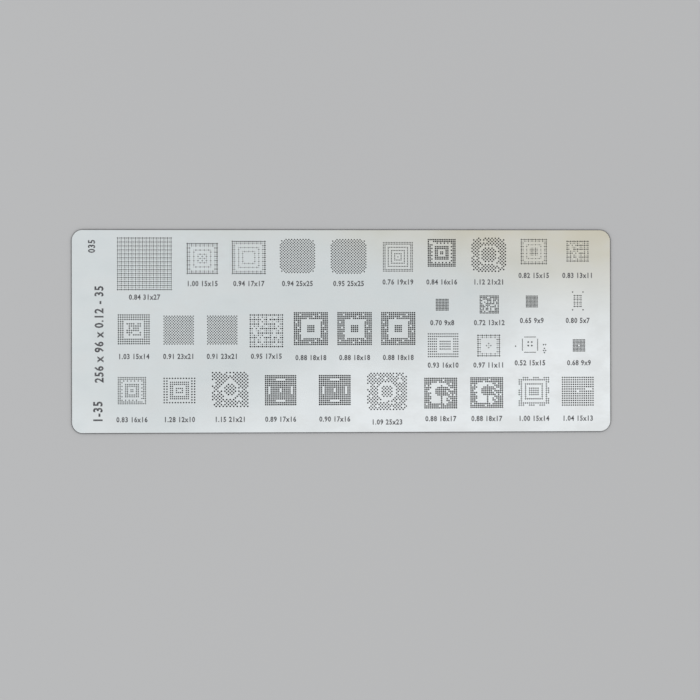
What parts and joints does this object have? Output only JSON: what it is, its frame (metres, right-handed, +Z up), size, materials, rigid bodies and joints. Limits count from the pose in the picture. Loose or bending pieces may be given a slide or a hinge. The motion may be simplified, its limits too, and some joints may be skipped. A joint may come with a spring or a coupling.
{
  "type": "solder paste stencil",
  "caption": "Thin flat sheet of spring steel with rounded corners, drilled through with fields of small round apertures that lay out solder on chip pads.",
  "frame": {"origin": "centre of the underside, on the surface that the sheet lies on", "axes": "+X along the sheet's length, +Y across it towards the row of fields with the universal grid, +Z up out of the top face"},
  "size_m": [0.256, 0.096, 0.0001],
  "materials": {
    "steel": "matte rolled stainless steel, softly clouded, with dark etched numbers",
    "marking": "matte"
  },
  "bodies": {
    "root": {"stencil": "steel"}
  },
  "joints": []
}
